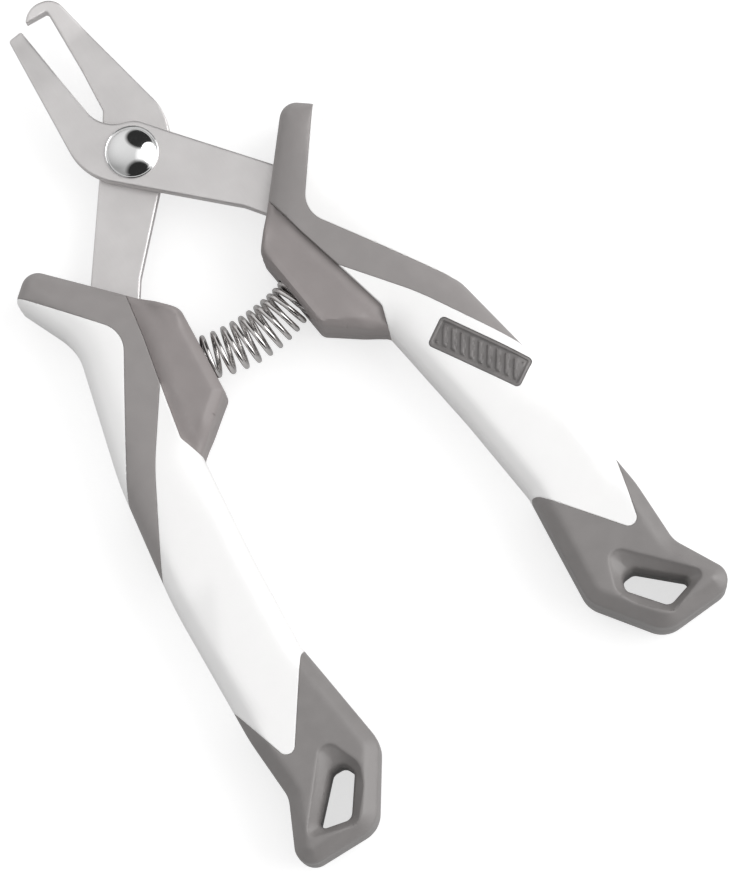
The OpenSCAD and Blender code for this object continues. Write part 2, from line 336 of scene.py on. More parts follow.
def slab(places, faces, top, low, pocket=None, pocket_z=None, ridge=0.0, plain_edge=None):
    """Closed mesh between two surfaces over the same triangles.

    pocket marks the triangles whose upper side is sunk to pocket_z.  ridge is the height of
    the moulding line round the wall; vertices in plain_edge don't get it.
    """
    if pocket is None:
        pocket = np.zeros(len(faces), bool)
    points = []
    made = {}

    def vertex(kind, i, x, y, z):
        if (kind, i) not in made:
            made[kind, i] = len(points)
            points.append((x, y, z))
        return made[kind, i]

    def corner(kind, i):
        z = {"top": top, "low": low, "pocket": pocket_z}[kind]
        return vertex(kind, i, places[i, 0], places[i, 1], z[i])

    result = []
    for a, b, c in faces[~pocket].tolist():
        result.append((corner("top", a), corner("top", b), corner("top", c)))
    for a, b, c in faces[pocket].tolist():
        result.append((corner("pocket", a), corner("pocket", b), corner("pocket", c)))
    for a, b, c in faces.tolist():
        result.append((corner("low", c), corner("low", b), corner("low", a)))
    outward = {}
    outer = border(faces)
    for a, b in outer:
        step = unit(places[b] - places[a])
        for i in (a, b):
            outward[i] = outward.get(i, 0) + np.array([step[1], -step[0]])
    levels = (RIDGE_HALF, 0.0, -RIDGE_HALF)

    def wall(kind, i):
        middle, half = (top[i] + low[i]) / 2, (top[i] - low[i]) / 2
        out = ridge if kind == 1 and (plain_edge is None or not plain_edge[i]) else 0.0
        x, y = places[i] + unit(outward[i]) * out
        return vertex(kind, i, x, y, middle + half * levels[kind])

    for a, b in outer:
        chain = [(corner("top", a), corner("top", b))]
        if ridge:
            chain += [(wall(k, a), wall(k, b)) for k in range(3)]
        chain.append((corner("low", a), corner("low", b)))
        for (ua, ub), (la, lb) in zip(chain, chain[1:]):
            result.append((la, lb, ub, ua))
    if pocket.any():
        skip = set(outer)
        for a, b in border(faces[~pocket]):
            if (a, b) not in skip:
                result.append((corner("pocket", a), corner("pocket", b),
                               corner("top", b), corner("top", a)))
    return points, result


def lathe(profile, segments_round=96):
    """Closed mesh of revolution about Z from (radius, z) points, from the top to the foot."""
    points = []
    rows = []
    for radius, z in profile:
        if radius < 1e-6:
            rows.append([len(points)])
            points.append((0.0, 0.0, z))
            continue
        rows.append(list(range(len(points), len(points) + segments_round)))
        for k in range(segments_round):
            angle = 2 * math.pi * k / segments_round
            points.append((radius * math.cos(angle), radius * math.sin(angle), z))
    faces = []
    for upper, lower in zip(rows, rows[1:]):
        for k in range(segments_round):
            n = (k + 1) % segments_round
            u0, u1 = (upper[0], upper[0]) if len(upper) == 1 else (upper[k], upper[n])
            l0, l1 = (lower[0], lower[0]) if len(lower) == 1 else (lower[k], lower[n])
            face = [l0, l1, u1, u0]
            faces.append([v for i, v in enumerate(face) if v != face[i - 1]])
    return points, faces


# ---- materials ----------------------------------------------------------------------------

def shader(name, colour, rough, metal=0.0, **sockets):
    """A material with a Principled shader; returns it, its tree, shader and coordinates."""
    material = bpy.data.materials.new(name)
    material.use_nodes = True
    tree = material.node_tree
    main = tree.nodes["Principled BSDF"]
    main.inputs["Base Color"].default_value = (*colour, 1)
    main.inputs["Roughness"].default_value = rough
    main.inputs["Metallic"].default_value = metal
    for key, value in sockets.items():
        main.inputs[key.replace("_", " ")].default_value = value
    place = tree.nodes.new("ShaderNodeTexCoord").outputs["Object"]
    return material, tree, main, place


def noise(tree, place, per_mm, detail=2.0, stretch=(1, 1, 1), turn=0.0):
    """Noise in object space with about per_mm features to the millimetre."""
    mapping = tree.nodes.new("ShaderNodeMapping")
    mapping.inputs["Rotation"].default_value = (0, 0, turn)
    mapping.inputs["Scale"].default_value = [per_mm / MM * s for s in stretch]
    texture = tree.nodes.new("ShaderNodeTexNoise")
    texture.inputs["Scale"].default_value = 1.0
    texture.inputs["Detail"].default_value = detail
    tree.links.new(place, mapping.inputs["Vector"])
    tree.links.new(mapping.outputs["Vector"], texture.inputs["Vector"])
    return texture.outputs["Fac"]


def ramp(tree, value, low, high, first, last):
    """A number that goes from first to last as the value goes from low to high."""
    node = tree.nodes.new("ShaderNodeMapRange")
    tree.links.new(value, node.inputs["Value"])
    for key, number in zip(("From Min", "From Max", "To Min", "To Max"), (low, high, first, last)):
        node.inputs[key].default_value = number
    return node.outputs["Result"]


def mix(tree, share, first, last):
    """A colour between first, which may be another node's output, and last."""
    node = tree.nodes.new("ShaderNodeMix")
    node.data_type = "RGBA"
    tree.links.new(share, node.inputs["Factor"])
    if isinstance(first, tuple):
        node.inputs["A"].default_value = (*first, 1)
    else:
        tree.links.new(first, node.inputs["A"])
    node.inputs["B"].default_value = (*last, 1)
    return node.outputs["Result"]


def bumps(tree, main, *layers):
    """Chained bumps, each (height output, depth in mm, strength)."""
    normal = None
    for height, depth, strength in layers:
        node = tree.nodes.new("ShaderNodeBump")
        node.inputs["Distance"].default_value = depth * MM
        node.inputs["Strength"].default_value = strength
        tree.links.new(height, node.inputs["Height"])
        if normal:
            tree.links.new(normal, node.inputs["Normal"])
        normal = node.outputs["Normal"]
    tree.links.new(normal, main.inputs["Normal"])


def moulded(name, colour, shade, rough, grain=0.02):
    """Moulded plastic with a spark-eroded grain, slow waviness and a little handling polish."""
    material, tree, main, place = shader(name, colour, rough, Specular_IOR_Level=0.45)
    fine = noise(tree, place, 5.0, 3.0)
    slow = noise(tree, place, 0.11, 2.0)
    patch = noise(tree, place, 0.35, 4.0)
    darker = tuple(c * shade for c in colour)
    tree.links.new(mix(tree, ramp(tree, patch, 0.35, 0.65, 0, 1), darker, colour),
                   main.inputs["Base Color"])
    tree.links.new(ramp(tree, patch, 0.3, 0.7, rough - 0.05, rough + 0.06), main.inputs["Roughness"])
    bumps(tree, main, (slow, 0.05, 0.5), (fine, grain, 0.35))
    return material


def satin_steel():
    """Tumbled stainless sheet: fine grain along the tool, with faint cross scuffs."""
    material, tree, main, place = shader("satin_steel", (0.76, 0.74, 0.735), 0.52, 1.0)
    lines = noise(tree, place, 1.0, 3.0, (9, 0.5, 3))
    scuff = noise(tree, place, 1.0, 2.0, (0.6, 5, 2), 0.6)
    cloud = noise(tree, place, 0.18, 3.0)
    tree.links.new(mix(tree, ramp(tree, cloud, 0.35, 0.65, 0, 1), (0.74, 0.72, 0.715),
                       (0.79, 0.77, 0.765)), main.inputs["Base Color"])
    tree.links.new(ramp(tree, lines, 0.3, 0.7, 0.48, 0.57), main.inputs["Roughness"])
    bumps(tree, main, (lines, 0.004, 0.4), (scuff, 0.003, 0.25))
    return material


def bright_steel(name, colour, rough):
    """Polished steel with hairline swirls."""
    material, tree, main, place = shader(name, colour, rough, 1.0)
    haze = noise(tree, place, 0.9, 3.0)
    lines = noise(tree, place, 6.0, 2.0, (1, 0.3, 1))
    tree.links.new(ramp(tree, haze, 0.3, 0.7, rough * 0.7, rough * 1.6), main.inputs["Roughness"])
    darker = tuple(c * 0.94 for c in colour)
    tree.links.new(mix(tree, haze, darker, colour), main.inputs["Base Color"])
    bumps(tree, main, (lines, 0.002, 0.15))
    return material


STEEL = satin_steel()
RIVET = bright_steel("rivet_steel", (0.86, 0.86, 0.86), 0.07)
WIRE = bright_steel("spring_wire", (0.7, 0.68, 0.67), 0.15)
PEG = bright_steel("peg_steel", (0.7, 0.7, 0.7), 0.25)
GREY = moulded("grey_nylon", (0.302, 0.284, 0.28), 0.95, 0.36)
BLOCK_GREY = moulded("block_nylon", (0.297, 0.27, 0.266), 0.95, 0.44)
DARK = moulded("dark_nylon", (0.248, 0.235, 0.231), 0.93, 0.4)
INNER = moulded("inner_nylon", (0.12, 0.12, 0.12), 0.9, 0.5)
WHITE = moulded("white_grip", (0.945, 0.94, 0.936), 0.99, 0.42, 0.012)
BADGE = moulded("badge_plate", (0.2, 0.19, 0.187), 0.85, 0.4, 0.03)

# ---- handle surface -----------------------------------------------------------------------

EDGE_DEPTH = 3.0            # height of the rounded edge, above the straight wall
GUARD_ROUND = 4.6           # width of the rounding on the guard
GUARD_FOOT = -56            # y below which that rounding isn't blurred
BLUR_REACH = 1.5
BLUR_RINGS = (0.55, 1.0)    # rings of blur samples, as shares of the reach
BLUR_TURNS = 6              # samples in each ring
BLUR_FADE = (0.5, 2.4)      # distances from the edge where the blur starts and is full
GUARD_TO_PALM = (-38, -54)  # y where the guard's rounding turns into the palm's chamfer
TAIL_TO_PALM = [-80, -71]   # y where the tail's edge turns into the palm's
PALM_CHAMFER = 1.9
PALM_DEPTH = 1.75
PALM_KNEE = 0.3
LIP = 0.75                  # small rounding where a chamfer meets the wall
TAIL_KNEE = 0.1
TAIL_LIP = 0.25
TAIL_LIP_DEPTH = 0.4
BLOCK_CHAMFER = 1.3         # at the foot of the block; it narrows towards the guard
BLOCK_NARROW = 0.45
BLOCK_TAPER = 1.5           # half the length over which it narrows
BLOCK_WIDE_FACE = -36.5     # y where it narrows, on the face and on the back
BLOCK_WIDE_BACK = -24
BLOCK_DEPTH = 1.5
BLOCK_KNEE = 0.1
BLOCK_LIP = 0.25
BLOCK_LIP_DEPTH = 0.5
BLOCK_SINK = 0.2
SINK_FADE = (0.2, 1.5)      # distances from the edge where that sink starts and is full
STEP_SINK = 0.55            # how far the block's top dips at the stripe
STEP_WIDTH = 1.6
STEP_FADE = (0.3, 1.8)
STEP_AWAY = (1.0, 4.0)      # distances from the step where the block's own edge takes over
SEAM_ROUND = 0.12
WALL_RIDGE = 0.04           # height of the moulding line round the handles
NECK_Z = 2.6                # half of the lanyard hole's neck
NECK_RISE = 1.2             # steep part of the recess, just outside the neck
NECK_SHARE = (-0.12, 0.2)   # where that part starts and ends, from the hole to the rim
BOWL_CURVE = 1.2            # power that curves the recess between the neck and the rim
RIM_SINK = 0.25
RIM_ROUND = 0.5
FACET = [(22.6, -55.5), (25.8, -61.5), (28.4, -66.6), (28.6, -71), (28, -78.5)]
FACET_OUTSIDE = [(45.0, -78.5), (45.0, -55.5)]
FACET_HEAD = (-55.5, -60)   # y where the facet fades in at its head
FACET_FOOT = (-79, -74)     # and at its foot
FACET_SLOPE = 0.2
FACET_KNEE = 0.04
RIM_RINGS = (-0.08, -0.2, -0.35, -0.5)
BOWL_RINGS = (0.05, 0.1, 0.17, 0.3, 0.5, 0.7, 0.87)    # shares of the way from hole to rim
HANDLE_GRID = 0.85
GRID_TO_EDGE = 0.3          # least room between the grid and the last edge ring
GRID_TO_SEAM = 0.6
POINT_TO_EDGE = 0.06        # least room between any loose point and the outline
POINT_TO_SEAM = 0.035

HANDLE_RING = outline(HANDLE)
BLOCK_RING = outline(BLOCK)
SHOULDER_RING = outline(SHOULDER)
PALM_RING = outline(PALM)
TAIL_RING = outline(TAIL)
HOLE_RING = outline(HOLE, 0.35)
RECESS_RING = outline(RECESS, 0.35)


def pillow(places):
    """Drop of the guard's rounded face, blurred away from the edge so that no crease is left."""
    d = from_ring(places, HANDLE_RING)
    total = round_drop(d, GUARD_ROUND, EDGE_DEPTH)
    soft = (places[:, 1] > GUARD_FOOT) & (d > BLUR_FADE[0])
    reach = BLUR_REACH * smooth(*BLUR_FADE, d[soft])
    turns = [2 * math.pi * k / BLUR_TURNS for k in range(BLUR_TURNS)]
    steps = [(share, turn + share) for share in BLUR_RINGS for turn in turns]
    for share, turn in steps:
        moved = places[soft] + np.outer(reach * share, (math.cos(turn), math.sin(turn)))
        total[soft] += round_drop(from_ring(moved, HANDLE_RING), GUARD_ROUND, EDGE_DEPTH)
    total[soft] /= len(steps) + 1
    return total


def facet_drop(places):
    """The shallow facet on the outer side of the palm, past a slanting ridge."""
    line = np.array(FACET)
    d = distance(places, line[:-1], line[1:])
    closed = np.concatenate([line, FACET_OUTSIDE])
    d = np.where(inside(places, closed), d, -d)
    ends_fade = smooth(*FACET_HEAD, places[:, 1]) * smooth(*FACET_FOOT, places[:, 1])
    return FACET_SLOPE * (d + np.sqrt(d * d + FACET_KNEE)) / 2 * ends_fade


def handle_height(places, soft):
    """Height of the handle's face above the mid-plane."""
    d = from_ring(places, HANDLE_RING)
    y = places[:, 1]
    knee = np.interp(y, TAIL_TO_PALM, [TAIL_KNEE, PALM_KNEE])
    lip = np.interp(y, TAIL_TO_PALM, [TAIL_LIP, LIP])
    lip_deep = np.interp(y, TAIL_TO_PALM, [TAIL_LIP_DEPTH, EDGE_DEPTH - PALM_DEPTH])
    cut = chamfer_drop(d, PALM_CHAMFER, PALM_DEPTH, knee) + round_drop(d, lip, lip_deep)
    share = smooth(*GUARD_TO_PALM, y)
    body = soft * (1 - share) + np.minimum(cut, EDGE_DEPTH) * share
    return HALF_T - body - facet_drop(places)


def block_height(places, soft, wide_from):
    """Height of the spring block's face; its chamfer is wide below wide_from and then narrows."""
    d = from_ring(places, HANDLE_RING)
    step = from_ring(places, BLOCK_RING)
    narrows = [wide_from - BLOCK_TAPER, wide_from + BLOCK_TAPER]
    width = np.interp(places[:, 1], narrows, [BLOCK_CHAMFER, BLOCK_NARROW])
    deep = BLOCK_DEPTH * np.sqrt(width / BLOCK_CHAMFER)
    lip = round_drop(d, BLOCK_LIP, BLOCK_LIP_DEPTH)
    crisp = chamfer_drop(d, width, deep, BLOCK_KNEE) + lip
    away = smooth(*STEP_AWAY, step)
    dip = STEP_SINK * (1 - smooth(0.0, STEP_WIDTH, step)) * smooth(*STEP_FADE, d)
    sunk = BLOCK_SINK * smooth(*SINK_FADE, d)
    return HALF_T - sunk - (soft * (1 - away) + crisp * away) - dip


def tail_height(places, z):
    """The lanyard loop's face: the handle's face with the recess round the hole cut in."""
    in_recess = inside(places, RECESS_RING)
    to_hole = from_ring(places, HOLE_RING)
    to_rim = from_ring(places, RECESS_RING)
    share = to_hole / np.maximum(to_hole + to_rim, 1e-6)
    steep = NECK_Z + NECK_RISE * smooth(*NECK_SHARE, share)
    bowl = steep + (HALF_T - RIM_SINK - NECK_Z - NECK_RISE) * share ** BOWL_CURVE
    outside = z - round_drop(to_rim, RIM_ROUND, RIM_SINK)
    return np.where(in_recess, np.minimum(bowl, z), outside)


def handle_plan():
    """One triangulation of the whole handle that keeps every seam, and each triangle's piece."""
    badge = badge_ring(0.0)
    seams = [BLOCK_RING, SHOULDER_RING, PALM_RING, TAIL_RING]
    to_rim = nearest(RECESS_RING, HOLE_RING) - HOLE_RING
    between = [HOLE_RING + to_rim * t for t in BOWL_RINGS]
    loose = [beside(HANDLE_RING, EDGE_RINGS)]
    for ring in seams:
        for sign in (1, -1):
            loose.append(beside(ring, [sign * r for r in SEAM_RINGS]))
    loose.append(beside(RECESS_RING, RIM_RINGS))
    grid = hex_grid(HANDLE_RING.min(0), HANDLE_RING.max(0), HANDLE_GRID)
    clear = from_ring(grid, HANDLE_RING) > EDGE_RINGS[-1] + GRID_TO_EDGE
    for ring in seams:
        clear &= from_ring(grid, ring) > GRID_TO_SEAM
    loose.append(grid[clear])
    loose = np.concatenate(loose)
    loose = loose[inside(loose, HANDLE_RING)]
    fixed = [HANDLE_RING] + seams + [RECESS_RING, HOLE_RING, badge]
    room = from_ring(loose, HANDLE_RING) > POINT_TO_EDGE
    for ring in fixed[1:]:
        room &= from_ring(loose, ring) > POINT_TO_SEAM
    room &= ~inside(loose, RECESS_RING)
    loose = np.concatenate([loose[room]] + between)
    places, faces = triangulate(fixed, loose)
    middle = places[faces].mean(1)
    within = {name: inside(middle, ring) for name, ring in
              (("handle", HANDLE_RING), ("block", BLOCK_RING), ("shoulder", SHOULDER_RING),
               ("palm", PALM_RING), ("tail", TAIL_RING), ("hole", HOLE_RING), ("badge", badge))}
    block = within["handle"] & within["block"]
    shoulder = within["handle"] & within["shoulder"] & ~block
    tail = within["handle"] & within["tail"] & ~block & ~shoulder
    palm = within["handle"] & within["palm"] & ~block & ~tail & ~shoulder
    guard = within["handle"] & ~block & ~shoulder & ~palm & ~tail
    tail &= ~within["hole"]
    regions = {"spring_block": block, "shoulder_panel": shoulder, "palm_panel": palm,
               "lanyard_loop": tail, "guard": guard}
    return places, faces, regions, within["badge"] & palm


def nearest(ring, points):
    """For each point, the place on the ring in the same direction from the points' centre."""
    centre = points.mean(0)
    angle = np.arctan2(*(ring - centre).T[::-1])
    order = np.argsort(angle)
    wanted = np.arctan2(*(points - centre).T[::-1])
    x = np.interp(wanted, angle[order], ring[order, 0], period=2 * math.pi)
    y = np.interp(wanted, angle[order], ring[order, 1], period=2 * math.pi)
    return np.stack([x, y], 1)


def badge_ring(gap):
    """The plate's outline in its place on the palm, smaller by the gap."""
    x, y, r = BADGE_L / 2 - gap, BADGE_W / 2 - gap, 0.7
    ring = outline([(-x, -y, r), (x, -y, r), (x, y, r), (-x, y, r)], 0.4)
    return np.array([BADGE_AT + turned(p, BADGE_TURN) for p in ring])


def on_outline(places):
    """True for the points on the handle's outline or on the edge of its hole."""
    gap = np.minimum(from_ring(places, HANDLE_RING), from_ring(places, HOLE_RING))
    return gap < 1e-3


def seam_gap(places, faces, outer):
    """Distance of each vertex from its own piece's seams, and the vertices on them."""
    seams = [(a, b) for a, b in border(faces) if not (outer[a] and outer[b])]
    starts = places[[a for a, b in seams]]
    ends = places[[b for a, b in seams]]
    return distance(places, starts, ends), {i for edge in seams for i in edge}


LOOK = {"guard": (GREY, "grey_nylon"), "spring_block": (BLOCK_GREY, "grey_nylon"),
        "shoulder_panel": (WHITE, "white_grip"), "palm_panel": (WHITE, "white_grip"),
        "lanyard_loop": (DARK, "dark_nylon")}
BODY = {"left": "hook_half", "right": "flat_half"}


def bore(piece, points, faces, side):
    """Cuts a closed mesh out of a piece."""
    mesh = bpy.data.meshes.new("cutter")
    mesh.from_pydata(to_row(points, side).tolist(), [], [list(map(int, f)) for f in faces])
    cutter = bpy.data.objects.new("cutter", mesh)
    bpy.context.scene.collection.objects.link(cutter)
    cut = piece.modifiers.new("socket", "BOOLEAN")
    cut.operation = "DIFFERENCE"
    cut.object = cutter
    cut.solver = "EXACT"
    bpy.context.view_layer.update()
    evaluated = piece.evaluated_get(bpy.context.evaluated_depsgraph_get())
    result = bpy.data.meshes.new_from_object(evaluated)
    piece.modifiers.remove(cut)
    piece.data = result
    bpy.data.objects.remove(cutter)
    result.set_sharp_from_angle(angle=math.radians(CREASE))


def at_socket(points):
    """Points with +Z into the socket, moved to the spring's seat in the right handle."""
    turn = Matrix.Rotation(SPRING_BOW, 3, "Z") @ Matrix.Rotation(math.pi / 2, 3, "Y")
    return [tuple(turn @ Vector(p) + Vector((SEAT_X, SEAT_Y, 0))) for p in points]


def socket():
    """The round socket with its countersunk mouth; it starts outside the block."""
    r = SOCKET_R
    profile = [(0, SOCKET_DEPTH), (r - 0.2, SOCKET_DEPTH), (r, SOCKET_DEPTH - 0.2), (r, 0.55),
               (r + 0.1, 0.2), (r + 0.25, -2), (0, -2)]
    points, faces = lathe(profile, 64)
    return at_socket(points), faces


def make_handles():
    places, faces, regions, window = handle_plan()
    outer = on_outline(places)
    soft = pillow(places)
    body_z = handle_height(places, soft)
    block_z = block_height(places, soft, BLOCK_WIDE_FACE)
    block_back_z = block_height(places, soft, BLOCK_WIDE_BACK)
    tail_z = tail_height(places, body_z)
    for part, chosen in regions.items():
        own = faces[chosen]
        gap, seam_vertices = seam_gap(places, own, outer)
        z = {"spring_block": block_z, "lanyard_loop": tail_z}.get(part, body_z)
        back_z = {"spring_block": block_back_z}.get(part, z)
        seam = round_drop(gap, SEAM_ROUND, SEAM_ROUND)
        plain = np.array([i in seam_vertices for i in range(len(places))])
        pocket = window[chosen] if part == "palm_panel" else None
        points, quads = slab(places, own, z - seam, seam - back_z, pocket, body_z - BADGE_T,
                             WALL_RIDGE, plain)
        material, slot = LOOK[part]
        for side in ("left", "right"):
            node = f"{side}_{part}"
            piece = finish_piece(node + "_moulding", points, quads, side, BODY[side],
                                 [node], material)
            if part == "spring_block":
                bore(piece, *socket(), side)


BADGE_GAP = 0.06            # room round the plate in its pocket
BADGE_GRID = 0.16
BADGE_SINK = 0.4            # the plate's ground lies this far under the grip's face
BADGE_BORDER = (0.35, 0.6)  # distances from the edge where the border ends and the ground starts
BADGE_RAISE = 0.36
RIB_PITCH = 1.35
RIB_LEAN = 0.45
RIB_SHARE = 0.9             # the ribs' height, against the border's


def make_badges():
    """A plain plate with a raised border and slanting ribs, which follows the grip's face."""
    ring = badge_ring(BADGE_GAP)
    grid = np.array([(x, y) for x in np.arange(-BADGE_L / 2, BADGE_L / 2, BADGE_GRID)
                     for y in np.arange(-BADGE_W / 2, BADGE_W / 2, BADGE_GRID)])
    grid = np.array([BADGE_AT + turned(p, BADGE_TURN) for p in grid])
    grid = grid[inside(grid, ring)]
    grid = grid[from_ring(grid, ring) > 0.1]
    places, faces = triangulate([ring], grid)
    faces = faces[inside(places[faces].mean(1), ring)]
    face = handle_height(places, pillow(places))
    local = np.array([turned(p - BADGE_AT, -BADGE_TURN) for p in places])
    d = from_ring(places, ring)
    border_high = 1 - smooth(*BADGE_BORDER, d)
    wave = np.cos((local[:, 0] + RIB_LEAN * local[:, 1]) * 2 * math.pi / RIB_PITCH)
    ribs = smooth(-0.1, 0.5, wave) * smooth(0.75, 1.0, d)
    raised = BADGE_RAISE * np.maximum(border_high, ribs * RIB_SHARE)
    top = face - BADGE_SINK + raised - round_drop(d, 0.12, 0.1)
    low = face - BADGE_T
    for side in ("left", "right"):
        points, quads = slab(places, faces, top, low)
        node = f"{side}_badge"
        finish_piece(node + "_face", points, quads, side, BODY[side], [node],
                     BADGE, 50)


make_handles()
make_badges()

# ---- levers -------------------------------------------------------------------------------

LEVER_EDGE = 0.3
LEVER_EDGE_DEPTH = 0.2
LEVER_RINGS = (0.04, 0.1, 0.18, 0.28, 0.42, 0.7)
LEVER_GRID = 0.7
JOGGLE_LEN = 7.0
JOGGLE_BEND = 0.35            # how softly the sheet bends at the start of the slope
FLAT_JOGGLE = (16.6, math.radians(20))       # where the joggle starts, and the turn of its line
HOOK_JOGGLE = (18.6, math.radians(-10))
TIP_THIN = 0.3                # taken off each side of the flat jaw's tip
TIP_THIN_LEN = 3
FLAT_THIN_FROM = 19.5
HOOK_THIN_FROM = 30           # beyond the hook's end, so the hook keeps its thickness


def make_lever(name, jaw, joggle, side, thin_from):
    """A lapped sheet lever whose jaw is joggled to the mid-plane."""
    ring = outline(jaw + TANG, 0.45)
    shank_hole = circle(0, 0, SHANK_HOLE_R)
    holes = [shank_hole] + [circle(x, y, KEY_HOLE_R, 24) for x, y in KEY_HOLES]
    grid = hex_grid(ring.min(0), ring.max(0), LEVER_GRID)
    loose = np.concatenate([beside(ring, LEVER_RINGS), beside(shank_hole, (-0.4,)),
                            grid[from_ring(grid, ring) > 1.1]])
    loose = loose[inside(loose, ring)]
    for hole in holes:
        loose = loose[~inside(loose, hole) & (from_ring(loose, hole) > 0.1)]
    places, faces = triangulate([ring] + holes, loose)
    middle = places[faces].mean(1)
    keep = inside(middle, ring)
    for hole in holes:
        keep &= ~inside(middle, hole)
    faces = faces[keep]
    start, turn = joggle
    past = -math.sin(turn) * places[:, 0] + math.cos(turn) * (places[:, 1] - start)
    rise = np.minimum((past + np.sqrt(past * past + JOGGLE_BEND)) / 2 / JOGGLE_LEN, 1)
    lift = (LEVER_GAP + LEVER_T) / 2 * (1 - rise)
    d = from_ring(places, ring)
    half = LEVER_T / 2 - round_drop(d, LEVER_EDGE, LEVER_EDGE_DEPTH)
    thin = TIP_THIN * smooth(thin_from, thin_from + TIP_THIN_LEN, places[:, 1])
    points, quads = slab(places, faces, lift + half - thin, lift - half + thin)
    finish_piece(name + "_sheet", points, quads, side, BODY[side], [name],
                 STEEL, 40)


make_lever("flat_jaw_lever", FLAT_JAW, FLAT_JOGGLE, "right", FLAT_THIN_FROM)
make_lever("hook_jaw_lever", HOOK_JAW, HOOK_JOGGLE, "left", HOOK_THIN_FROM)

# ---- pivot and pegs -----------------------------------------------------------------------

SLACK = 0.02                  # between the rivet's head and the upper lever
HEAD_EDGE = 0.3               # height of the head's rim
DOME_STEPS = 20
WASHER_BEVEL = 0.08
PEG_OUT = 0.6                 # from the socket's mouth to the peg's head


def make_rivet():
    face = LEVER_TOP + SLACK
    back = -LEVER_TOP - WASHER_T
    ball = (DOME_R ** 2 + DOME_H ** 2) / (2 * DOME_H)
    sweep = math.asin(DOME_R / ball)
    rim = face + HEAD_EDGE
    angles = [sweep * k / DOME_STEPS for k in range(DOME_STEPS)]
    dome = [(ball * math.sin(a), rim + DOME_H - ball + ball * math.cos(a)) for a in angles]
    ring = [(DOME_R, rim - 0.06), (DOME_R + 0.07, rim - 0.1), (DOME_R + 0.13, rim - 0.02),
            (DOME_R + 0.22, rim + 0.02), (RIVET_R - 0.04, rim - 0.03), (RIVET_R, rim - 0.1),
            (RIVET_R, face)]
    foot = [(SHANK_R, face), (SHANK_R, back), (2.9, back), (2.86, back - 0.12), (2.6, back - 0.45),
            (2.2, back - 0.66), (1.5, back - 0.78), (0.7, back - 0.8), (0, back - 0.8)]
    points, faces = lathe(dome + ring + foot)
    finish_piece("pivot_rivet_dome", points, faces, "right", "hook_half",
                 ["pivot_rivet"], RIVET, 40)


def make_washer():
    high, low = -LEVER_TOP, -LEVER_TOP - WASHER_T
    bevel = WASHER_BEVEL
    profile = [(SHANK_R + 0.01, high), (WASHER_R - bevel, high), (WASHER_R, high - bevel),
               (WASHER_R, low + bevel), (WASHER_R - bevel, low), (SHANK_R + 0.01, low)]
    points, faces = lathe(profile + profile[:1])
    finish_piece("rivet_washer_ring", points, faces, "right", "hook_half",
                 ["rivet_washer"], STEEL, 30)


def make_pegs():
    """The pegs that hold the spring's ends: rounded heads that face out of the sockets."""
    foot = SOCKET_DEPTH + 1.4
    profile = [(0, foot), (1.2, foot), (1.2, SOCKET_DEPTH), (PEG_R, SOCKET_DEPTH),
               (PEG_R, PEG_OUT + 0.5), (PEG_R - 0.12, PEG_OUT + 0.22),
               (PEG_R - 0.45, PEG_OUT + 0.04), (0, PEG_OUT)]
    points, faces = lathe(profile, 48)
    for side in ("left", "right"):
        node = f"{side}_spring_peg"
        finish_piece(node + "_turned", at_socket(points), faces, side, BODY[side],
                     [node], PEG, 40)


make_rivet()
make_washer()
make_pegs()

# ---- return spring ------------------------------------------------------------------------

WIRE_SIDES = 12
STEPS_PER_TURN = 30
SEAT_GRIP = SOCKET_DEPTH - WIRE_D / 2 - 0.1
WIRE_START = 0.25             # where round the coil the wire starts, in turns


def make_spring():
    """A coil along an arc between the two seats, narrow at its ends, wider spaced on the left."""
    arc_r = SEAT_X / math.sin(SPRING_BOW)
    arc_len = 2 * arc_r * SPRING_BOW
    length = arc_len + 2 * SEAT_GRIP
    rings = TURNS * STEPS_PER_TURN

    def axis(s):
        angle = min(max(s / arc_len * 2, -1), 1) * SPRING_BOW
        over = max(abs(s) - arc_len / 2, 0) * (1 if s > 0 else -1)
        x = arc_r * math.sin(angle) + over * math.cos(angle)
        y = SEAT_Y + arc_r * (math.cos(SPRING_BOW) - math.cos(angle)) + over * math.sin(angle)
        return x, y, angle

    points = []
    for i in range(rings + 1):
        share = i / rings
        s = length * (share + PITCH_BIAS * share * (1 - share) - 0.5)
        x, y, angle = axis(s)
        radius = COIL_R * (1 - END_TAPER * min(abs(s) / arc_len * 2, 1) ** 2)
        rise = length * (1 + PITCH_BIAS * (1 - 2 * share)) / TURNS / (2 * math.pi * radius)
        t = 2 * math.pi * (i / STEPS_PER_TURN - WIRE_START)
        along = Vector((math.cos(angle), math.sin(angle), 0))
        across = Vector((-math.sin(angle), math.cos(angle), 0))
        up = Vector((0, 0, 1))
        radial = across * math.cos(t) + up * math.sin(t)
        onward = (up * math.cos(t) - across * math.sin(t)) + along * rise
        sideways = onward.normalized().cross(radial)
        for k in range(WIRE_SIDES):
            b = 2 * math.pi * k / WIRE_SIDES
            rim = radial * math.cos(b) + sideways * math.sin(b)
            points.append(tuple(Vector((x, y, 0)) + radial * radius + rim * WIRE_D / 2))
    faces = []
    for i in range(rings):
        for k in range(WIRE_SIDES):
            a, b = i * WIRE_SIDES + k, i * WIRE_SIDES + (k + 1) % WIRE_SIDES
            faces.append((a, a + WIRE_SIDES, b + WIRE_SIDES, b))
    faces.append(tuple(range(WIRE_SIDES)))
    faces.append(tuple(rings * WIRE_SIDES + k for k in range(WIRE_SIDES - 1, -1, -1)))
    spring = finish_piece("return_spring_coil", points, faces, "right", None,
                          ["return_spring"], WIRE, 50)
    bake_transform(spring)


make_spring()

for node, material in (("pivot_shim", PEG), ("left_core", INNER), ("right_core", INNER)):
    core = frame["nodes"][node]
    core.data.materials.clear()
    core.data.materials.append(material)

# ---- studio -------------------------------------------------------------------------------

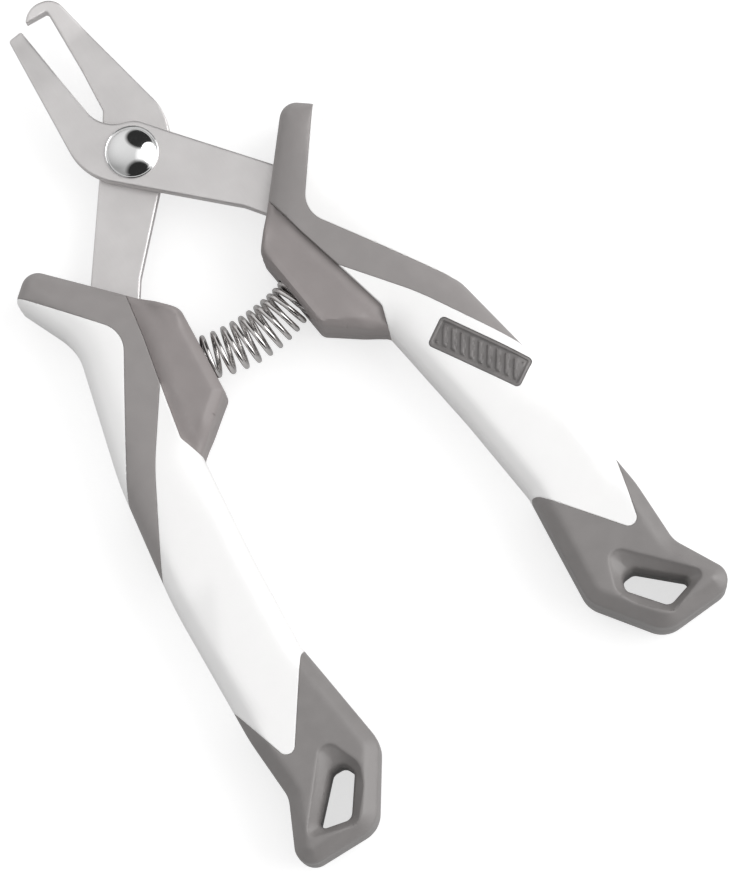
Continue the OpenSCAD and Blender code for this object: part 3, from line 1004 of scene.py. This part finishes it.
FLOOR_Z = -2e-5               # in metres, just under the lowest faces
FLOOR_HALF = 3.0
FLOOR_GREY = (0.5, 0.5, 0.5)
FLOOR_GLOW = (0.12, 0.66)     # what lights the pliers, and what the camera sees
SKY_LOW = (0.38, 0.38, 0.38)
SKY_HIGH = (0.76, 0.76, 0.76)
FILL = (0.87, 0.87, 0.87)
BRIGHT = (1.6, 1.6, 1.6)
BLACK = (0.03, 0.03, 0.03)

# Direction in the view (right, up, towards the camera), then the inner and outer half angles.
SKY_CARD = (0.33, 0.42, 0.85, 0.0, math.radians(95))
FILL_CARD = (-0.5, 0.72, 0.5, math.radians(15), math.radians(75))
BRIGHT_CARD = (0.8, 0.02, 0.6, math.radians(28), math.radians(50))
DARK_CARDS = [(0.26, 0.88, 0.4, math.radians(31), math.radians(41)),
              (0.26, -0.72, 0.65, math.radians(29), math.radians(42))]


def make_floor():
    mesh = bpy.data.meshes.new("floor")
    corners = [(x * FLOOR_HALF, y * FLOOR_HALF, FLOOR_Z)
               for x, y in ((-1, -1), (1, -1), (1, 1), (-1, 1))]
    mesh.from_pydata(corners, [], [(0, 1, 2, 3)])
    floor = bpy.data.objects.new("floor", mesh)
    bpy.context.scene.collection.objects.link(floor)
    material, tree, main, place = shader("floor", FLOOR_GREY, 0.9)
    main.inputs["Emission Color"].default_value = (1, 1, 1, 1)
    seen = tree.nodes.new("ShaderNodeLightPath").outputs["Is Camera Ray"]
    tree.links.new(ramp(tree, seen, 0, 1, *FLOOR_GLOW), main.inputs["Emission Strength"])
    grain = noise(tree, place, 0.02, 2.0)
    greys = mix(tree, grain, (0.495, 0.495, 0.495), (0.505, 0.505, 0.505))
    tree.links.new(greys, main.inputs["Base Color"])
    mesh.materials.append(material)


def soft_light(name, toward, far, size, watts):
    """A round soft light that shines on the pliers from a direction in the view."""
    direction = in_view(*toward)
    data = bpy.data.lights.new(name, "AREA")
    data.shape = "DISK"
    data.size = size
    data.energy = watts
    light = bpy.data.objects.new(name, data)
    facing = direction.to_track_quat("Z", "Y").to_matrix().to_4x4()
    light.matrix_world = Matrix.Translation(direction * far) @ facing
    bpy.context.scene.collection.objects.link(light)


def make_world():
    """Soft light from all round, brighter overhead; what shines also sees bright and dark cards."""
    world = bpy.data.worlds.new("world")
    bpy.context.scene.world = world
    world.use_nodes = True
    tree = world.node_tree
    background = tree.nodes["Background"]
    place = tree.nodes.new("ShaderNodeTexCoord").outputs["Generated"]

    def card(right, up, back, inner, outer):
        dot = tree.nodes.new("ShaderNodeVectorMath")
        dot.operation = "DOT_PRODUCT"
        dot.inputs[1].default_value = in_view(right, up, back)
        tree.links.new(place, dot.inputs[0])
        return ramp(tree, dot.outputs["Value"], math.cos(outer), math.cos(inner), 0, 1)

    def both(operation, first, second):
        node = tree.nodes.new("ShaderNodeMath")
        node.operation = operation
        tree.links.new(first, node.inputs[0])
        tree.links.new(second, node.inputs[1])
        return node.outputs[0]

    shine = tree.nodes.new("ShaderNodeLightPath").outputs["Is Glossy Ray"]
    dark = both("MULTIPLY", both("MAXIMUM", card(*DARK_CARDS[0]), card(*DARK_CARDS[1])), shine)
    bright = both("MULTIPLY", card(*BRIGHT_CARD), shine)
    colour = mix(tree, card(*SKY_CARD), SKY_LOW, SKY_HIGH)
    colour = mix(tree, card(*FILL_CARD), colour, FILL)
    colour = mix(tree, bright, colour, BRIGHT)
    colour = mix(tree, dark, colour, BLACK)
    tree.links.new(colour, background.inputs["Color"])
    background.inputs["Strength"].default_value = 1.0


make_floor()
soft_light("key", (0.85, 0.27, 0.58), 1.0, 1.2, 6.95)
make_world()
bpy.context.scene.view_settings.view_transform = "Standard"
